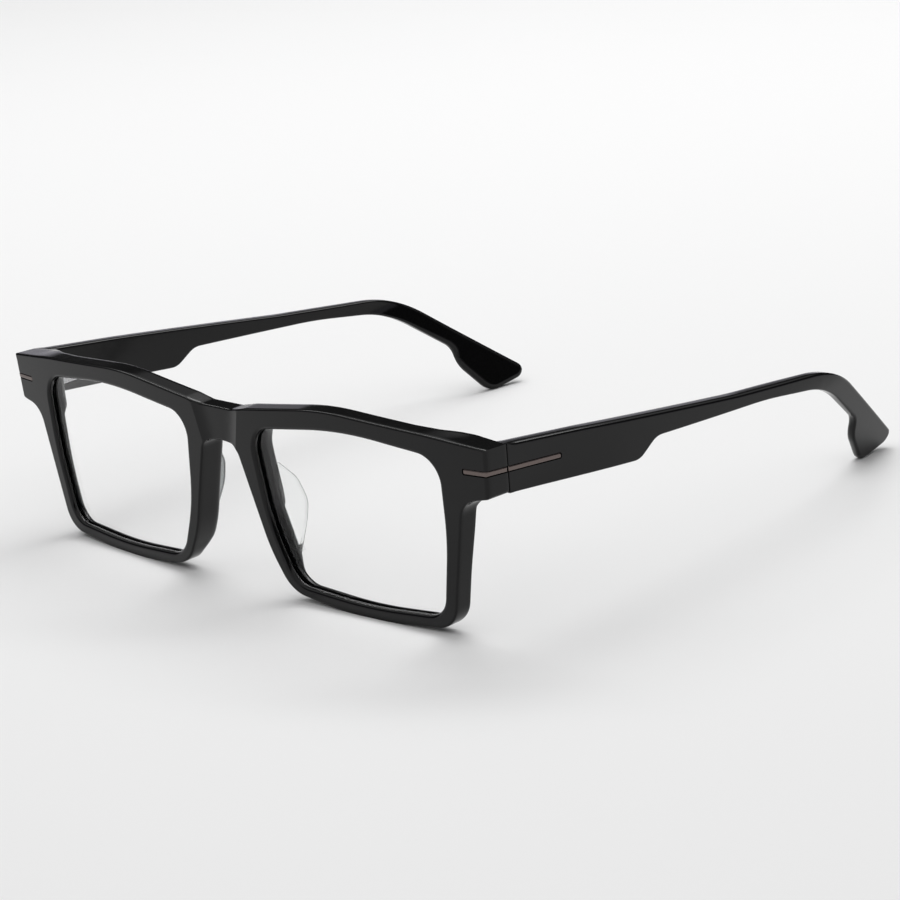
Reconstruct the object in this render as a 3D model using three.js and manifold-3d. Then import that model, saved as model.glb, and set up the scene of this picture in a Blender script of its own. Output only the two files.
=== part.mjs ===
// Eyeglasses frame: a full-rim front, two folding temples and everything that holds them together.
// Millimetres. X runs to the wearer's left, Y from the front towards the ears, Z up.
// Shapes are drawn in the front's own frame: Z along the front, Y = 0 at the middle of its front face,
// Z = 0 at the top corners of the end pieces. The last lines lean and lift the whole onto its rest.
import * as THREE from 'three';
import { mergeVertices } from 'three/addons/utils/BufferGeometryUtils.js';
import Module from 'manifold-3d';

const wasm = await Module();
wasm.setup();

// ---- Driving dimensions -------------------------------------------------------------------------
const GAP = 0.3; // clearance between pieces that touch or turn on each other

// Front
const FRONT_HALF_WIDTH = 73;
const FRONT_WRAP_RADIUS = 589; // the front is slightly bowed round the face
const RIM_THICKNESS = 4;
const RIM_BACK_RADIUS = 680; // the back is flatter, so the rims thin out towards their outer ends
const NASAL_THICKNESS = 5.3; // bridge and nose sides are thicker than the rims
const NASAL_HALF_WIDTH = 16;
const NASAL_TOP = -4;
const NASAL_BOTTOM = -33;
const END_PIECE_BACK = 10; // back face of the end pieces, where the temples butt
const END_PIECE_INNER = 64.6;
const END_PIECE_BLEND = 57.5; // where the rim starts to thicken into the end piece
const END_PIECE_BOTTOM = -11.5;
const CORNER_ROUND = 1.1; // upright corner between front face and side
const TOP_SLOPE_ACROSS = 0.1; // the end piece's top falls outwards and backwards
const TOP_SLOPE_BACK = 0.13;
const RECESS_DEPTH = 1.2; // sunken panel on the front of the bridge
const RECESS_HALF_WIDTH = 7.3;
const RECESS_FLOOR_HALF_WIDTH = 4.4;
const RECESS_BOTTOM = -8.8;

// Lenses
const LENS_THICKNESS = 1.5;
const LENS_SETBACK = 1.45; // front of the lens behind the front of the rim
const LENS_TUCK = 0.8; // how far the lens edge runs into the groove

// Nose pads
const NOSE_PAD_TOP = new THREE.Vector3(8, NASAL_THICKNESS + GAP, -12.5);
const NOSE_PAD_SLOPE = new THREE.Vector3(6.5, 0, -19); // they follow the nose side of the rims downwards
const NOSE_PAD_THICKNESS = 2.4;
const NOSE_PAD_FLARE = THREE.MathUtils.degToRad(23);

// Temples
const TEMPLE_START = END_PIECE_BACK + GAP;
const TEMPLE_HALF_WIDTH = 73.2; // outer faces of the temples, where they run straight back
const TEMPLE_BOW_START = 20; // from here they bow gently inwards
const TEMPLE_BOW_RADIUS = 830;
const TIP_TILT_LEVEL = -14.5; // below this the ends behind the ears lean inwards
const TIP_TILT_EASE = 4;
const TIP_TILT = 0.34;
const TEMPLE_THICKNESS = 3.3;
const TIP_THICKNESS = 2.3;
const THINNING_START = 84; // the temples thin down to their tips between these
const THINNING_END = 112;
const TEMPLE_END = 140;
const CORE_RADIUS = 0.5;
const CORE_DEPTH = 0.47; // as a share of the thickness

// Hinges
const PIN_X = 68.3;
const PIN_Y = 11.7;
const PIN_RADIUS = 0.6;
const KNUCKLE_RADIUS = 1.25;
const KNUCKLE_HEIGHT = 1.1;
const KNUCKLE_COUNT = 5;
const HINGE_MIDDLE = -5.4;
const LEAF_THICKNESS = 0.9; // both leaves are let in flush
const FRONT_LEAF_INNER = 66.8;
const FRONT_LEAF_OUTER = 71.7;
const FRONT_LEAF_HEIGHT = 7.2;
const TEMPLE_LEAF_START = TEMPLE_START + 2.6;
const TEMPLE_LEAF_LENGTH = 9;
const TEMPLE_LEAF_MIDDLE = -5.8;
const TEMPLE_LEAF_HEIGHT = 5.6;
const FLUSH = 0.02; // how little a leaf stays below the acetate
const SCREW_HEAD_RADIUS = 1.15;
const SCREW_HEAD_HEIGHT = 0.8;

// Trim bars
const TRIM_HEIGHT = 1.3;
const TRIM_DEPTH = 0.7;
const TRIM_INSET = 0.05;
const TRIM_INNER_END = 67.1;
const TRIM_LEVEL = -4.6;
const TRIM_LEVEL_AT_JOINT = -5.45;
const TRIM_LEVEL_AT_END = -6.5;
const TRIM_END = 22.4;

// Rest
const LEAN = THREE.MathUtils.degToRad(1.6); // standing on rims and temple tips
const REST_CUT = 38.35; // what touches the surface it stands on is worn flat

// ---- Outlines: corners as [across, up, rounding radius] -------------------------------------------
const FRONT_OUTLINE = [ // left half, from the top of the bridge round to the nose arch
  [4.5, -0.55, 6], [9, 0.35, 10], [31, 3.1, 70], [FRONT_HALF_WIDTH, 0, 0.3], [72.3, -9.7, 0.6],
  [66.3, -10.9, 3.4], [60.4, -37.2, 3.6], [37, -39.3, 130], [16.3, -36.7, 5], [11.7, -28.5, 30],
  [5.3, -7.6, 2.4], [0, -7.4, 3],
];
const LENS_OPENING = [ // left eye, from the upper nose corner round
  [9.7, -3.5, 4], [36, -0.4, 90], [61.4, -2.9, 4], [61.1, -19, 60], [58, -35.3, 3],
  [38, -36.4, 130], [17.6, -35.2, 5], [12.1, -22.5, 40],
];
const TEMPLE_PROFILE = [ // seen from the side: [back, up, rounding radius]
  [TEMPLE_START, -0.95, 0.2], [30, -3.45, 150], [75, -10.55, 150], [108, -15.3, 22], [136.5, -38.9, 2.2],
  [135, -40.8, 2.2], [125.2, -42.1, 2.4], [119.5, -34.5, 7], [120, -30, 4], [105.3, -17.6, 14],
  [84, -14.2, 120], [48.4, -11.1, 2.8], [43.4, -14.1, 2.2], [TEMPLE_START, -9.85, 0.2],
];
const NOSE_PAD_OUTLINE = [ // down the nose side of the rim, and out from its back
  [0.5, -3, 0.5], [0.5, 0.5, 1.5], [4, 3.3, 4], [12, 4.7, 6], [18.5, 2, 5], [20.5, -3, 0.5],
];
const CORE_ROUTE = [ // middle of the core wire, seen from the side
  [23.2, -8.4], [38, -9.3], [50, -9.2], [64, -10.8], [80, -12.6], [94, -14.35], [103, -16.1], [109, -19.2],
  [116, -24.6], [122, -29.7],
];
const CHANNEL_START = [20.5, -8.2]; // the wire's channel opens into the leaf's seat, where it was shot in
const CHANNEL_END = [123, -30.6];

// ---- Geometry helpers -----------------------------------------------------------------------------
const ARC_STEP = THREE.MathUtils.degToRad(16);

/** Points of a closed outline whose corners are rounded. */
function rounded(corners, arcStep = ARC_STEP) {
  const points = [];
  corners.forEach(([x, y, radius], index) => {
    const [beforeX, beforeY] = corners[(index + corners.length - 1) % corners.length];
    const [afterX, afterY] = corners[(index + 1) % corners.length];
    const corner = new THREE.Vector2(x, y);
    const inward = corner.clone().sub(new THREE.Vector2(beforeX, beforeY));
    const outward = new THREE.Vector2(afterX, afterY).sub(corner);
    const cross = inward.cross(outward);
    const turn = Math.abs(Math.atan2(cross, inward.dot(outward)));
    const room = Math.min(inward.length(), outward.length()) * 0.49;
    const reach = Math.min(radius * Math.tan(turn / 2), room);
    const steps = Math.max(2, Math.ceil(turn / arcStep));
    const start = corner.clone().addScaledVector(inward.normalize(), -reach);
    const end = corner.clone().addScaledVector(outward.normalize(), reach);
    for (let step = 0; step <= steps; step += 1) {
      const t = step / steps;
      const first = start.clone().lerp(corner, t);
      const second = corner.clone().lerp(end, t);
      points.push(first.lerp(second, t));
    }
  });
  return points;
}

/** The corners of an outline moved outwards by a distance. */
function offset(corners, distance) {
  const clockwise = THREE.ShapeUtils.isClockWise(corners.map(([x, y]) => new THREE.Vector2(x, y)));
  const side = clockwise ? -distance : distance;
  return corners.map(([x, y, radius], index) => {
    const [beforeX, beforeY] = corners[(index + corners.length - 1) % corners.length];
    const [afterX, afterY] = corners[(index + 1) % corners.length];
    const first = new THREE.Vector2(x - beforeX, y - beforeY).normalize();
    const second = new THREE.Vector2(afterX - x, afterY - y).normalize();
    const normal = new THREE.Vector2(first.y + second.y, -first.x - second.x).normalize();
    const stretch = side / normal.dot(new THREE.Vector2(first.y, -first.x));
    return [x + normal.x * stretch, y + normal.y * stretch, radius + distance];
  });
}

/** A half outline completed by its mirror image across X = 0. */
function withMirror(corners) {
  const mirrorImage = corners.filter(([x]) => x > 0).map(([x, y, radius]) => [-x, y, radius]);
  return [...corners, ...mirrorImage.reverse()];
}

function extrude(points, depth) {
  return new THREE.ExtrudeGeometry(new THREE.Shape(points), { depth, bevelEnabled: false });
}

/** A front view, [x, z], pushed through from one Y to another. */
function alongY(points, from, to) {
  return extrude(points, to - from).rotateX(Math.PI / 2).translate(0, to, 0);
}

/** A side view, [y, z], pushed through from one X to another. */
function alongX(points, from, to) {
  const axes = new THREE.Matrix4().makeBasis(
    new THREE.Vector3(0, 1, 0), new THREE.Vector3(0, 0, 1), new THREE.Vector3(1, 0, 0));
  return extrude(points, to - from).applyMatrix4(axes).translate(from, 0, 0);
}

/** A top view, [x, y], pushed through from one Z to another. */
function alongZ(points, from, to) {
  return extrude(points, to - from).translate(0, 0, from);
}

function box(x0, x1, y0, y1, z0, z1) {
  return new THREE.BoxGeometry(x1 - x0, y1 - y0, z1 - z0)
    .translate((x0 + x1) / 2, (y0 + y1) / 2, (z0 + z1) / 2);
}

function upright(radius, x, y, z0, z1, sides = 20) {
  return new THREE.CylinderGeometry(radius, radius, z1 - z0, sides)
    .rotateX(Math.PI / 2).translate(x, y, (z0 + z1) / 2);
}

/** The geometry with its shared vertices merged, and nothing but their positions kept. */
function welded(geometry) {
  const bare = new THREE.BufferGeometry();
  bare.setAttribute('position', geometry.getAttribute('position').clone());
  bare.setIndex(geometry.getIndex());
  return mergeVertices(bare, 1e-5);
}

function toSolid(geometry) {
  const merged = welded(geometry);
  const vertProperties = new Float32Array(merged.getAttribute('position').array);
  const triVerts = new Uint32Array(merged.getIndex().array);
  return new wasm.Manifold(new wasm.Mesh({ numProp: 3, vertProperties, triVerts }));
}

function toGeometry(solid) {
  const mesh = solid.getMesh();
  const geometry = new THREE.BufferGeometry();
  geometry.setAttribute('position', new THREE.BufferAttribute(new Float32Array(mesh.vertProperties), 3));
  geometry.setIndex(new THREE.BufferAttribute(new Uint32Array(mesh.triVerts), 1));
  geometry.computeVertexNormals();
  return geometry;
}

const join = (...geometries) => geometries.map(toSolid).reduce((whole, piece) => whole.add(piece));
const common = (...geometries) => geometries.map(toSolid).reduce((whole, piece) => whole.intersect(piece));

/** The same geometry on the other side of the nose. */
function mirrored(geometry) {
  const copy = welded(geometry).scale(-1, 1, 1);
  const index = copy.getIndex().array;
  for (let corner = 0; corner < index.length; corner += 3) {
    [index[corner + 1], index[corner + 2]] = [index[corner + 2], index[corner + 1]];
  }
  copy.computeVertexNormals();
  return copy;
}

// ---- Curved surfaces, seen from above ---------------------------------------------------------------
/** How far a bowed surface has fallen back at a place across the front. */
function wrapped(x, radius) {
  return radius - Math.sqrt(radius ** 2 - x ** 2);
}

/** Y of the front face at a place across the front. */
function frontFace(x) {
  return wrapped(x, FRONT_WRAP_RADIUS);
}

/** A top view of the layer between two depths behind the front face, its back bent to a radius. */
function frontBand(x0, x1, near, far, steps, backRadius = FRONT_WRAP_RADIUS) {
  const points = [];
  for (let step = 0; step <= steps; step += 1) {
    const x = THREE.MathUtils.lerp(x0, x1, step / steps);
    points.push(new THREE.Vector2(x, frontFace(x) + near));
  }
  for (let step = steps; step >= 0; step -= 1) {
    const x = THREE.MathUtils.lerp(x0, x1, step / steps);
    points.push(new THREE.Vector2(x, wrapped(x, backRadius) + far));
  }
  return points;
}

/** X of a temple's outer face at a place along it and a height. */
function templeFace(y, z) {
  const bowed = Math.max(0, y - TEMPLE_BOW_START);
  const below = Math.max(0, TIP_TILT_LEVEL - z);
  const leaning = below < TIP_TILT_EASE ? below ** 2 / (2 * TIP_TILT_EASE) : below - TIP_TILT_EASE / 2;
  return TEMPLE_HALF_WIDTH - bowed ** 2 / (2 * TEMPLE_BOW_RADIUS) - TIP_TILT * leaning;
}

/** Thickness of a temple at a place along it. */
function templeThickness(y) {
  const thinning = THREE.MathUtils.smoothstep(y, THINNING_START, THINNING_END);
  return THREE.MathUtils.lerp(TEMPLE_THICKNESS, TIP_THICKNESS, thinning);
}

/** The layer of a temple between two depths inside its outer face, given for its full thickness. */
function templeLayer(y0, y1, z0, z1, near, far) {
  const alongSteps = Math.ceil((y1 - y0) / 4);
  const upSteps = Math.ceil((z1 - z0) / 2);
  const layer = new THREE.BoxGeometry(far - near, y1 - y0, z1 - z0, 1, alongSteps, upSteps)
    .translate(-(near + far) / 2, (y0 + y1) / 2, (z0 + z1) / 2);
  const position = layer.getAttribute('position');
  for (let index = 0; index < position.count; index += 1) {
    const y = position.getY(index);
    const depth = position.getX(index) * templeThickness(y) / TEMPLE_THICKNESS;
    position.setX(index, templeFace(y, position.getZ(index)) + depth);
  }
  return layer;
}

/** Everything under the surface the glasses stand on. */
function belowRest() {
  return toSolid(box(-80, 80, -20, 160, -REST_CUT - 5, -REST_CUT).rotateX(-LEAN));
}

// ---- Trim bars ------------------------------------------------------------------------------------
/** Side view of a sloping bar, given its two ends and its level at each. */
function slopingBar(y0, level0, y1, level1, height) {
  return [
    new THREE.Vector2(y0, level0 - height / 2), new THREE.Vector2(y1, level1 - height / 2),
    new THREE.Vector2(y1, level1 + height / 2), new THREE.Vector2(y0, level0 + height / 2),
  ];
}

/** The bar on the front and round the corner to the joint, between two depths under the surface. */
function frontTrim(near, far, margin) {
  const height = TRIM_HEIGHT + 2 * margin;
  const inner = TRIM_INNER_END - margin;
  const outerX = FRONT_HALF_WIDTH - near;
  const innerX = FRONT_HALF_WIDTH - far;
  const cornerY = frontFace(FRONT_HALF_WIDTH);
  const roundEnd = cornerY + CORNER_ROUND;
  const frontPart = [
    [inner, frontFace(inner) + near], [outerX - CORNER_ROUND, cornerY - 0.1 + near], [outerX, roundEnd],
    [outerX, roundEnd + 0.6], [innerX, roundEnd + 0.6], [innerX, cornerY + far + 0.3],
    [inner, frontFace(inner) + far],
  ].map(([x, y]) => new THREE.Vector2(x, y));
  const bottom = TRIM_LEVEL - height / 2;
  const side = slopingBar(roundEnd, TRIM_LEVEL, END_PIECE_BACK - 0.1 + 2 * margin, TRIM_LEVEL_AT_JOINT, height);
  return join(alongZ(frontPart, bottom, bottom + height), alongX(side, innerX, outerX));
}

/** The bar let into the front end of a temple. */
function templeTrim(near, far, margin) {
  const height = TRIM_HEIGHT + 2 * margin;
  const start = TEMPLE_START + 0.1 - 2 * margin;
  const end = TRIM_END + margin;
  const side = slopingBar(start, TRIM_LEVEL_AT_JOINT, end, TRIM_LEVEL_AT_END, height);
  return common(alongX(side, 60, 90), templeLayer(start, end, -10, 0, near, far));
}

// ---- Hinges ---------------------------------------------------------------------------------------
const pitch = KNUCKLE_HEIGHT + GAP;
const stackHeight = KNUCKLE_COUNT * KNUCKLE_HEIGHT + (KNUCKLE_COUNT - 1) * GAP;
const stackBottom = HINGE_MIDDLE - stackHeight / 2;
const stackTop = HINGE_MIDDLE + stackHeight / 2;
const bore = () => toSolid(upright(PIN_RADIUS + GAP, PIN_X, PIN_Y, stackBottom - 3, stackTop + 3));

/** Knuckles of one leaf: every other one of the stack, each with its arm. */
function knuckles(first, arm) {
  const pieces = [];
  for (let index = first; index < KNUCKLE_COUNT; index += 2) {
    const z0 = stackBottom + index * pitch;
    pieces.push(upright(KNUCKLE_RADIUS, PIN_X, PIN_Y, z0, z0 + KNUCKLE_HEIGHT));
    pieces.push(alongZ(arm, z0, z0 + KNUCKLE_HEIGHT));
  }
  return pieces;
}

/** A leaf's seat is its plate grown by a margin and open towards the outside. */
function frontLeafPlate(margin) {
  const half = FRONT_LEAF_HEIGHT / 2 + margin;
  return box(
    FRONT_LEAF_INNER - margin, FRONT_LEAF_OUTER + margin,
    END_PIECE_BACK - LEAF_THICKNESS - margin, END_PIECE_BACK - FLUSH + 4 * margin,
    HINGE_MIDDLE - half, HINGE_MIDDLE + half);
}

function frontLeaf() {
  const half = KNUCKLE_RADIUS * 0.98;
  const root = END_PIECE_BACK - LEAF_THICKNESS / 2;
  const arm = [
    new THREE.Vector2(PIN_X - half, root), new THREE.Vector2(PIN_X + half, root),
    new THREE.Vector2(PIN_X + half, PIN_Y), new THREE.Vector2(PIN_X - half, PIN_Y),
  ];
  return join(frontLeafPlate(0), ...knuckles(0, arm)).subtract(bore());
}

function templeLeafPlate(margin) {
  const half = TEMPLE_LEAF_HEIGHT / 2 + margin;
  return templeLayer(
    TEMPLE_LEAF_START - margin, TEMPLE_LEAF_START + TEMPLE_LEAF_LENGTH + margin,
    TEMPLE_LEAF_MIDDLE - half, TEMPLE_LEAF_MIDDLE + half,
    TEMPLE_THICKNESS - LEAF_THICKNESS - margin, TEMPLE_THICKNESS - FLUSH + 4 * margin);
}

function templeLeaf() {
  const rootX = TEMPLE_HALF_WIDTH - TEMPLE_THICKNESS + LEAF_THICKNESS / 2;
  const arm = [
    new THREE.Vector2(PIN_X + 0.3, PIN_Y - KNUCKLE_RADIUS * 0.2),
    new THREE.Vector2(rootX, TEMPLE_LEAF_START + 0.7),
    new THREE.Vector2(rootX, TEMPLE_LEAF_START + 3),
    new THREE.Vector2(PIN_X - 0.9, PIN_Y + KNUCKLE_RADIUS * 0.65),
  ];
  return join(templeLeafPlate(0), ...knuckles(1, arm)).subtract(bore());
}

function hingeScrew() {
  return join(
    upright(PIN_RADIUS, PIN_X, PIN_Y, stackBottom - 0.2, stackTop + GAP + 0.2),
    upright(SCREW_HEAD_RADIUS, PIN_X, PIN_Y, stackTop + GAP, stackTop + GAP + SCREW_HEAD_HEIGHT));
}

// ---- Front ----------------------------------------------------------------------------------------
/** Half of the front seen from above, with its rounded outer corner, as a block to keep. */
function endPieceBlock() {
  const cornerY = frontFace(FRONT_HALF_WIDTH);
  const points = [
    new THREE.Vector2(END_PIECE_BLEND, frontFace(END_PIECE_BLEND) + 1),
    new THREE.Vector2(FRONT_HALF_WIDTH - CORNER_ROUND, cornerY - 0.1),
    new THREE.Vector2(FRONT_HALF_WIDTH - 0.3, cornerY + 0.35),
    new THREE.Vector2(FRONT_HALF_WIDTH, cornerY + CORNER_ROUND),
    new THREE.Vector2(FRONT_HALF_WIDTH, END_PIECE_BACK),
    new THREE.Vector2(END_PIECE_INNER, END_PIECE_BACK),
    new THREE.Vector2(END_PIECE_BLEND, wrapped(END_PIECE_BLEND, RIM_BACK_RADIUS) + RIM_THICKNESS - 0.05),
  ];
  return alongZ(points, END_PIECE_BOTTOM, 10);
}

/** Everything above the end piece's sloping top. */
function aboveEndPiece() {
  const across = new THREE.Vector3(1, 0, -TOP_SLOPE_ACROSS).normalize();
  const back = new THREE.Vector3(0, 1, -TOP_SLOPE_BACK).normalize();
  const up = new THREE.Vector3().crossVectors(across, back).normalize();
  const trueBack = new THREE.Vector3().crossVectors(up, across);
  const corner = new THREE.Vector3(FRONT_HALF_WIDTH, frontFace(FRONT_HALF_WIDTH), 0);
  const axes = new THREE.Matrix4().makeBasis(across, trueBack, up).setPosition(corner);
  return box(-15, 5, 0, 12, 0, 6).applyMatrix4(axes);
}

function lensGroove() {
  const groove = rounded(offset(LENS_OPENING, LENS_TUCK + GAP));
  const near = LENS_SETBACK - GAP;
  const far = LENS_SETBACK + LENS_THICKNESS + GAP;
  return common(alongY(groove, -5, 15), alongZ(frontBand(5, 66, near, far, 12), -45, 10));
}

function lens() {
  const edge = rounded(offset(LENS_OPENING, LENS_TUCK));
  const layer = frontBand(5, 66, LENS_SETBACK, LENS_SETBACK + LENS_THICKNESS, 12);
  return common(alongY(edge, -5, 15), alongZ(layer, -45, 10));
}

function bridgeRecess() {
  const slopeEnd = RECESS_HALF_WIDTH + 1.4;
  return alongZ([
    new THREE.Vector2(-slopeEnd, -0.5), new THREE.Vector2(slopeEnd, -0.5),
    new THREE.Vector2(RECESS_FLOOR_HALF_WIDTH, RECESS_DEPTH),
    new THREE.Vector2(-RECESS_FLOOR_HALF_WIDTH, RECESS_DEPTH),
  ], RECESS_BOTTOM, 5);
}

function frontFrame() {
  const outline = alongY(rounded(withMirror(FRONT_OUTLINE)), -5, 15);
  const rimsEnd = FRONT_HALF_WIDTH - CORNER_ROUND;
  const rims = alongZ(frontBand(-rimsEnd, rimsEnd, 0, RIM_THICKNESS, 24, RIM_BACK_RADIUS), -45, 10);
  const nasalSlope = NASAL_THICKNESS - RIM_THICKNESS;
  const nasal = alongZ([
    new THREE.Vector2(-NASAL_HALF_WIDTH, 3), new THREE.Vector2(NASAL_HALF_WIDTH, 3),
    new THREE.Vector2(NASAL_HALF_WIDTH, RIM_THICKNESS),
    new THREE.Vector2(NASAL_HALF_WIDTH - nasalSlope, NASAL_THICKNESS),
    new THREE.Vector2(-NASAL_HALF_WIDTH + nasalSlope, NASAL_THICKNESS),
    new THREE.Vector2(-NASAL_HALF_WIDTH, RIM_THICKNESS),
  ], NASAL_BOTTOM, NASAL_TOP);
  const leftEnd = endPieceBlock();
  let solid = join(rims, nasal, leftEnd, mirrored(leftEnd)).intersect(toSolid(outline));

  solid = solid.subtract(toSolid(bridgeRecess()));
  const opening = alongY(rounded(LENS_OPENING), -5, 15);
  const leftCuts = [
    toGeometry(lensGroove()), opening, aboveEndPiece(), frontLeafPlate(GAP),
    toGeometry(frontTrim(-1, TRIM_DEPTH + GAP, GAP / 2)),
  ];
  for (const cut of leftCuts) {
    solid = solid.subtract(toSolid(cut)).subtract(toSolid(mirrored(cut)));
  }
  return solid.subtract(belowRest());
}

/** A pad stands on the back of the rim: its outline runs down the nose side and out from it. */
function nosePad() {
  const down = NOSE_PAD_SLOPE.clone().normalize();
  const flare = new THREE.Vector3(Math.sin(NOSE_PAD_FLARE), Math.cos(NOSE_PAD_FLARE), 0);
  const across = new THREE.Vector3().crossVectors(down, flare).normalize();
  const out = new THREE.Vector3().crossVectors(across, down);
  const axes = new THREE.Matrix4().makeBasis(down, out, across).setPosition(NOSE_PAD_TOP);
  const pad = extrude(rounded(NOSE_PAD_OUTLINE), NOSE_PAD_THICKNESS).applyMatrix4(axes);
  return common(pad, box(0, 30, NOSE_PAD_TOP.y, 30, -45, 5));
}

// ---- Temples --------------------------------------------------------------------------------------
function coreWire(radius, route) {
  const path = new THREE.CatmullRomCurve3(route.map(([y, z]) => (
    new THREE.Vector3(templeFace(y, z) - CORE_DEPTH * templeThickness(y), y, z))));
  const section = new THREE.Shape().absarc(0, 0, radius, 0, 2 * Math.PI);
  return new THREE.ExtrudeGeometry(section, { steps: 26, curveSegments: 8, extrudePath: path });
}

function temple() {
  const profile = alongX(rounded(TEMPLE_PROFILE), 45, 85);
  const wall = templeLayer(TEMPLE_START, TEMPLE_END, -46, 2, 0, TEMPLE_THICKNESS);
  const channelRoute = [CHANNEL_START, ...CORE_ROUTE, CHANNEL_END];
  return common(profile, wall)
    .subtract(toSolid(coreWire(CORE_RADIUS + GAP, channelRoute)))
    .subtract(toSolid(templeLeafPlate(GAP)))
    .subtract(belowRest())
    .subtract(templeTrim(-1, TRIM_DEPTH + GAP, GAP / 2));
}

// ---- Assembly -------------------------------------------------------------------------------------
const acetate = { color: 0x151516, roughness: 0.12, metalness: 0 };
const clear = { color: 0xf2f5f6, roughness: 0.05, metalness: 0, transparent: true, opacity: 0.35 };
const gunmetal = { color: 0x6f6260, roughness: 0.35, metalness: 1 };
const steel = { color: 0xb4b6b8, roughness: 0.3, metalness: 1 };

const glasses = new THREE.Group();

function place(name, geometry, finish) {
  const mesh = new THREE.Mesh(geometry, new THREE.MeshStandardMaterial(finish));
  mesh.name = name;
  glasses.add(mesh);
}

place('front_frame', toGeometry(frontFrame()), acetate);
const sidePieces = {
  lens: [toGeometry(lens()), clear],
  nose_pad: [toGeometry(nosePad()), clear],
  front_trim: [toGeometry(frontTrim(TRIM_INSET, TRIM_DEPTH, 0)), gunmetal],
  hinge_front_leaf: [toGeometry(frontLeaf()), steel],
  hinge_screw: [toGeometry(hingeScrew()), steel],
  temple: [toGeometry(temple()), acetate],
  temple_trim: [toGeometry(templeTrim(TRIM_INSET, TRIM_DEPTH, 0)), gunmetal],
  hinge_temple_leaf: [toGeometry(templeLeaf()), steel],
  core_wire: [toGeometry(toSolid(coreWire(CORE_RADIUS, CORE_ROUTE))), steel],
};
for (const [name, [geometry, finish]] of Object.entries(sidePieces)) {
  place(`${name}_left`, geometry, finish);
  place(`${name}_right`, mirrored(geometry), finish);
}

// Lean the glasses onto their rest and put the middle of their box's underside at the origin.
glasses.rotation.x = LEAN;
glasses.updateMatrixWorld(true);
const extent = new THREE.Box3().setFromObject(glasses, true);
glasses.position.set(0, -(extent.min.y + extent.max.y) / 2, -extent.min.z);

export default glasses;
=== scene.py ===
"""Eyeglasses frame: polished black acetate, clear lenses and pads, gunmetal trim, open on a pale floor.

Shapes are drawn in millimetres in the front's own frame, where X runs to the wearer's left, Y from the front
back to the ears and Z up along the front. in_row() leans that frame onto its rest and turns it into metres.
"""

import math

import bmesh
import bpy
import numpy as np
from mathutils import Euler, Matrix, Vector
from mathutils.geometry import delaunay_2d_cdt


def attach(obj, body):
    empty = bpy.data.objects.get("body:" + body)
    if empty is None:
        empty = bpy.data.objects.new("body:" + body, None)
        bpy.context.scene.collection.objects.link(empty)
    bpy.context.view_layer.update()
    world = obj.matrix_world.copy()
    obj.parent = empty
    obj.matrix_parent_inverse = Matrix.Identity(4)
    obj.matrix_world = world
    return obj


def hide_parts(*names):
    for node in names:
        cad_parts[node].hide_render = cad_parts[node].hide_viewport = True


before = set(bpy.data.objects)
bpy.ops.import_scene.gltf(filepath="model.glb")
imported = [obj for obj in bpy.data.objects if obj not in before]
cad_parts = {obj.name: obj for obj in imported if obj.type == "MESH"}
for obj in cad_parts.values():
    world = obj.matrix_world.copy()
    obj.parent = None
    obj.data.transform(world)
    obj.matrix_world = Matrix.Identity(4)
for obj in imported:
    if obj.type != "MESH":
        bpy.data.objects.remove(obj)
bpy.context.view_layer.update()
MM = 0.001

# ---- Dimensions in millimetres: the CAD model's, but for fuller rims and thinner lenses -----------------
LEAN = math.radians(1.6)
CORNER_ROUND = 0.6
FRONT_HALF_WIDTH = 73.12
SIDE_TAPER = 0.067
FRONT_WRAP = 589.0
BACK_WRAP = 680.0
RIM_THICKNESS = 4.3
END_PIECE_BACK = 10.0
RECESS_DEPTH = 0.6
LENS_SETBACK, LENS_THICKNESS, LENS_TUCK = 1.3, 1.2, 1.1
TEMPLE_START, TEMPLE_HALF_WIDTH, TEMPLE_BOW = 10.16, 73.18, 830.0
PIN_X, PIN_Y, HINGE_MIDDLE = 68.3, 11.7, -5.4
PIN_RADIUS, KNUCKLE_RADIUS, KNUCKLE_HEIGHT, KNUCKLE_GAP = 0.6, 1.25, 1.1, 0.3

# Where the front's own frame sits in the row's.
ORIGIN = Vector((0.0, -68.586, 38.35))

# Outlines are corners as (across, up, rounding radius).
FRONT_OUTLINE = [
    (4.5, -0.55, 6), (9, 0.35, 10), (31, 3.02, 70), (58, 1.4, 60), (FRONT_HALF_WIDTH, 0, 0),
    (72.47, -9.7, 0.8), (65.9, -10.9, 4.8), (60.4, -37.2, 6), (37, -39.3, 130), (16.3, -36.7, 8),
    (11.4, -28.5, 30), (5.1, -8.0, 3.2), (0, -7.6, 3),
]
LENS_OPENING = [
    (9.7, -3.5, 5.5), (36, -0.4, 90), (61.3, -2.9, 6), (61, -19, 60), (58, -35.3, 5),
    (38, -36.4, 130), (17.6, -35.2, 6.5), (12.1, -22.5, 40),
]
TEMPLE_PROFILE = [
    (TEMPLE_START, -0.35, 0), (30, -3.25, 150), (75, -10.5, 150), (107.9, -14.85, 30), (136.2, -38.7, 4.5),
    (134.8, -40.9, 4), (125.2, -42.25, 4), (119.4, -34.5, 9), (119.3, -30.2, 4), (104.6, -17.9, 28),
    (84, -14.2, 120), (49.8, -11.1, 5), (44.4, -14.25, 4.5), (TEMPLE_START, -10.1, 0),
]


# ---- Outlines -------------------------------------------------------------------------------------------
ARC_STEP = math.radians(7)
CORNER_SHARE = 0.49  # as much of a side as one corner's rounding may take up
STEP_SLACK, SAME_POINT = 1e-6, 1e-5


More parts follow.
